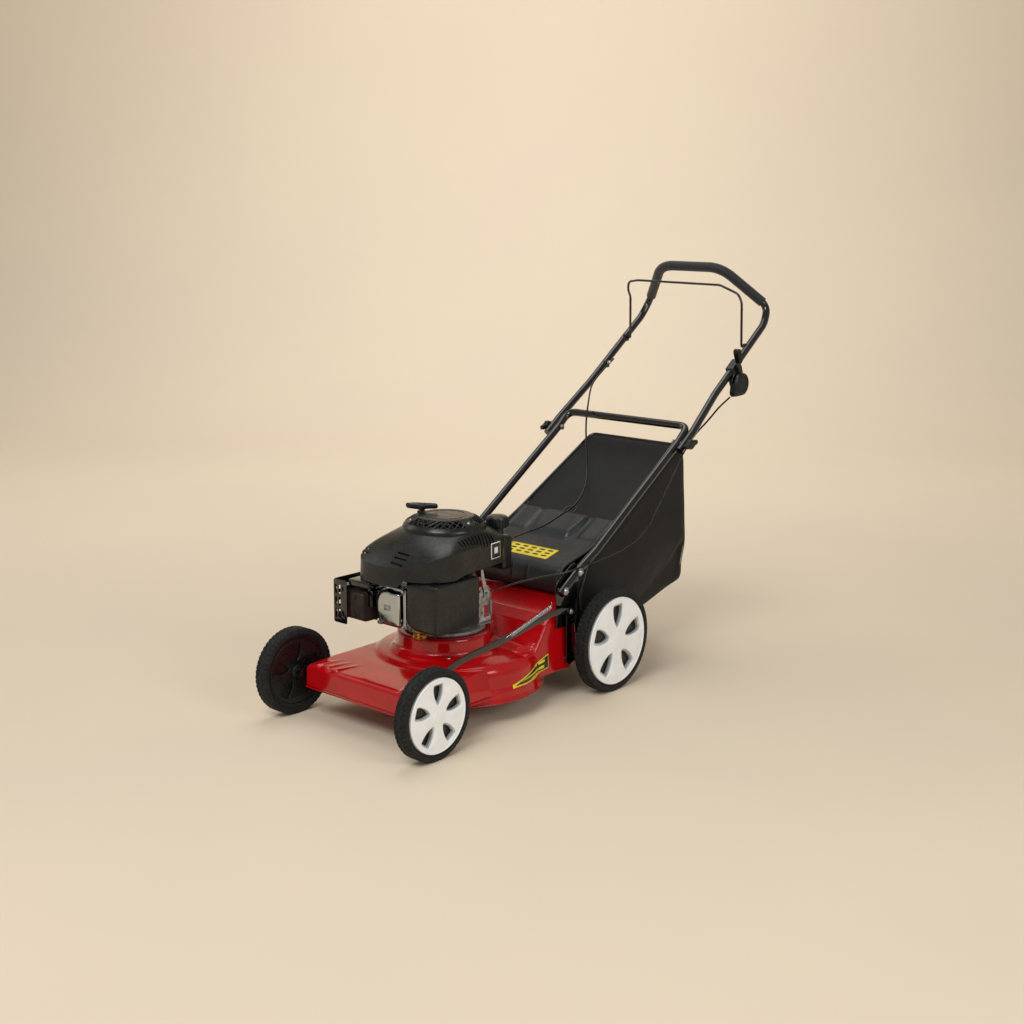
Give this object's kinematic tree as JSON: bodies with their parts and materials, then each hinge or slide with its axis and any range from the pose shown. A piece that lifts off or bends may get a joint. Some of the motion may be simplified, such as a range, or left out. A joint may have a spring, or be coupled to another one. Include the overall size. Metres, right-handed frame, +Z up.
{
  "type": "walk-behind petrol lawn mower",
  "caption": "Walk-behind petrol lawn mower with a pressed steel deck, vertical-shaft engine, rear grass bag and folding U-shaped handle.",
  "frame": {"origin": "on the ground, under the middle of the mower's overall length and width", "axes": "+Y towards the user, so the mower is pushed towards -Y; +X towards the mower's left side, which carries the link bar and the throttle; +Z up"},
  "size_m": [0.489, 1.4402, 1.0147],
  "materials": {
    "red_enamel": "gloss stoved enamel",
    "tyre_rubber": "matt moulded rubber",
    "black_plastic": "satin moulded plastic",
    "grey_plastic": "satin moulded plastic",
    "white_plastic": "satin moulded plastic",
    "black_steel": "gloss powder coat",
    "zinc": "bright zinc plate",
    "cast_aluminium": "die cast, as cast",
    "chrome": "bright plate",
    "exhaust_steel": "heat-darkened sheet",
    "brass": "plain",
    "fabric": "woven polyester",
    "foam": "closed-cell foam",
    "blade_steel": "hardened, worn",
    "ceramic": "glazed ceramic and rubber cap"
  },
  "bodies": {
    "chassis": {"deck_shell": "red_enamel", "lever_quadrant": "black_steel", "height_spring": "zinc", "handle_bracket_left": "black_steel", "handle_bracket_right": "black_steel", "lower_handle": "black_steel", "flap_rod": "zinc", "brake_cable": "black_plastic", "throttle_cable": "black_plastic", "crankcase": "cast_aluminium", "cylinder_block": "cast_aluminium", "valve_cover": "chrome", "muffler": "exhaust_steel", "muffler_guard": "black_steel", "carburettor": "brass", "air_filter_box": "black_plastic", "control_bracket": "zinc", "spark_plug": "ceramic", "blower_shroud": "black_plastic", "recoil_housing": "black_plastic", "starter_rope": "fabric", "fuel_tank": "black_plastic"},
    "front_axle_set": {"front_axle": "black_steel"},
    "rear_axle_set": {"rear_axle": "black_steel", "height_lever": "black_steel"},
    "link": {"link_bar": "black_steel"},
    "rotor": {"crankshaft": "blade_steel", "flywheel": "cast_aluminium", "blade_adapter": "cast_aluminium", "blade": "blade_steel", "blade_bolt": "zinc"},
    "starter_grip": {"starter_handle": "black_plastic"},
    "starter_reel": {"starter_pulley": "grey_plastic"},
    "upper_frame": {"upper_handle": "black_steel", "grip_foam": "foam", "throttle_box": "black_plastic"},
    "knob_left": {"fold_knob_left": "black_plastic"},
    "knob_right": {"fold_knob_right": "black_plastic"},
    "bail_bar": {"bail": "black_steel"},
    "brake_lever": {"brake_arm": "zinc"},
    "speed_lever": {"throttle_lever": "black_plastic"},
    "governor_arm": {"throttle_arm": "zinc"},
    "flap": {"rear_flap": "grey_plastic"},
    "bag": {"bag_frame": "grey_plastic", "bag_tube": "black_steel", "bag_fabric": "fabric"},
    "cap": {"fuel_cap": "black_plastic"},
    "oil_dipstick": {"dipstick": "black_plastic"},
    "wheel_front_left": {"tyre_front_left": "tyre_rubber", "rim_front_left": "black_plastic", "wheel_trim_front_left": "white_plastic"},
    "wheel_front_right": {"tyre_front_right": "tyre_rubber", "rim_front_right": "black_plastic", "wheel_trim_front_right": "white_plastic"},
    "wheel_rear_left": {"tyre_rear_left": "tyre_rubber", "rim_rear_left": "black_plastic", "wheel_trim_rear_left": "white_plastic"},
    "wheel_rear_right": {"tyre_rear_right": "tyre_rubber", "rim_rear_right": "black_plastic", "wheel_trim_rear_right": "white_plastic"}
  },
  "joints": [
    {"name": "height_swing", "type": "hinge", "parent": "chassis", "child": "rear_axle_set", "pos_m": [0, -0.1165, 0.099], "axis": [1, 0, 0], "range_deg": [-7, 7], "deforming": ["height_spring"]},
    {"name": "front_swing", "type": "hinge", "parent": "chassis", "child": "front_axle_set", "pos_m": [0, -0.5755, 0.112], "axis": [1, 0, 0], "range_deg": [-21.5, 21.5]},
    {"name": "link_turn", "type": "hinge", "parent": "rear_axle_set", "child": "link", "pos_m": [0.198, -0.1225, 0.22], "axis": [1, 0, 0], "range_deg": [-7.2, 7.2]},
    {"name": "roll_front_left", "type": "hinge", "parent": "front_axle_set", "child": "wheel_front_left", "pos_m": [0.225, -0.6185, 0.1016], "axis": [1, 0, 0], "continuous": true},
    {"name": "roll_front_right", "type": "hinge", "parent": "front_axle_set", "child": "wheel_front_right", "pos_m": [-0.225, -0.6185, 0.1016], "axis": [1, 0, 0], "continuous": true},
    {"name": "roll_rear_left", "type": "hinge", "parent": "rear_axle_set", "child": "wheel_rear_left", "pos_m": [0.225, 0.0075, 0.127], "axis": [1, 0, 0], "continuous": true},
    {"name": "roll_rear_right", "type": "hinge", "parent": "rear_axle_set", "child": "wheel_rear_right", "pos_m": [-0.225, 0.0075, 0.127], "axis": [1, 0, 0], "continuous": true},
    {"name": "blade_spin", "type": "hinge", "parent": "chassis", "child": "rotor", "pos_m": [0, -0.3455, 0.088], "axis": [0, 0, 1], "continuous": true},
    {"name": "starter_pull", "type": "slide", "parent": "chassis", "child": "starter_grip", "axis": [0, 0, 1], "range_m": [0, 0.45], "stiffness_N_per_m": 20, "springref_m": -0.1, "deforming": ["starter_rope"]},
    {"name": "starter_turn", "type": "hinge", "parent": "chassis", "child": "starter_reel", "pos_m": [0, -0.3455, 0.441], "axis": [0, 0, 1], "range_deg": [0, 520]},
    {"name": "handle_fold", "type": "hinge", "parent": "chassis", "child": "upper_frame", "pos_m": [0, 0.3065, 0.574], "axis": [1, 0, 0], "range_deg": [0, 120], "deforming": ["brake_cable", "throttle_cable"]},
    {"name": "knob_turn_left", "type": "hinge", "parent": "upper_frame", "child": "knob_left", "pos_m": [0.235, 0.3065, 0.574], "axis": [1, 0, 0], "continuous": true},
    {"name": "knob_turn_right", "type": "hinge", "parent": "upper_frame", "child": "knob_right", "pos_m": [-0.235, 0.3065, 0.574], "axis": [1, 0, 0], "continuous": true},
    {"name": "bail_squeeze", "type": "hinge", "parent": "upper_frame", "child": "bail_bar", "pos_m": [0, 0.6065, 0.797], "axis": [1, 0, 0], "range_deg": [-18, 0], "stiffness_Nm_per_rad": 1.2, "springref_deg": 22.92},
    {"name": "brake_turn", "type": "hinge", "parent": "chassis", "child": "brake_lever", "pos_m": [-0.062, -0.2705, 0.263], "axis": [0, 0, 1], "range_deg": [0, 14]},
    {"name": "speed_turn", "type": "hinge", "parent": "upper_frame", "child": "speed_lever", "pos_m": [0.224, 0.5405, 0.706], "axis": [1, 0, 0], "range_deg": [-25, 25]},
    {"name": "governor_turn", "type": "hinge", "parent": "chassis", "child": "governor_arm", "pos_m": [0.102, -0.3155, 0.286], "axis": [1, 0, 0], "range_deg": [-20.5, 20.5]},
    {"name": "flap_lift", "type": "hinge", "parent": "chassis", "child": "flap", "pos_m": [0, -0.0815, 0.25], "axis": [1, 0, 0], "range_deg": [0, 60], "stiffness_Nm_per_rad": 0.6, "springref_deg": -34.38},
    {"name": "bag_pull", "type": "slide", "parent": "chassis", "child": "bag", "axis": [0, 0.9272, 0.3746], "range_m": [0, 0.45]},
    {"name": "cap_turn", "type": "hinge", "parent": "chassis", "child": "cap", "pos_m": [0.044, -0.211, 0.43], "axis": [0, 0, 1], "continuous": true},
    {"name": "dipstick_pull", "type": "slide", "parent": "chassis", "child": "oil_dipstick", "axis": [0, 0, 1], "range_m": [0, 0.06]}
  ],
  "couplings": [
    {"joint": "front_swing", "follows": "height_swing", "ratio": -3.025},
    {"joint": "link_turn", "follows": "height_swing", "ratio": -1},
    {"joint": "starter_turn", "follows": "starter_pull", "rad_per_m": 20},
    {"joint": "brake_turn", "follows": "bail_squeeze", "ratio": -0.75},
    {"joint": "governor_turn", "follows": "speed_turn", "ratio": 0.8}
  ]
}
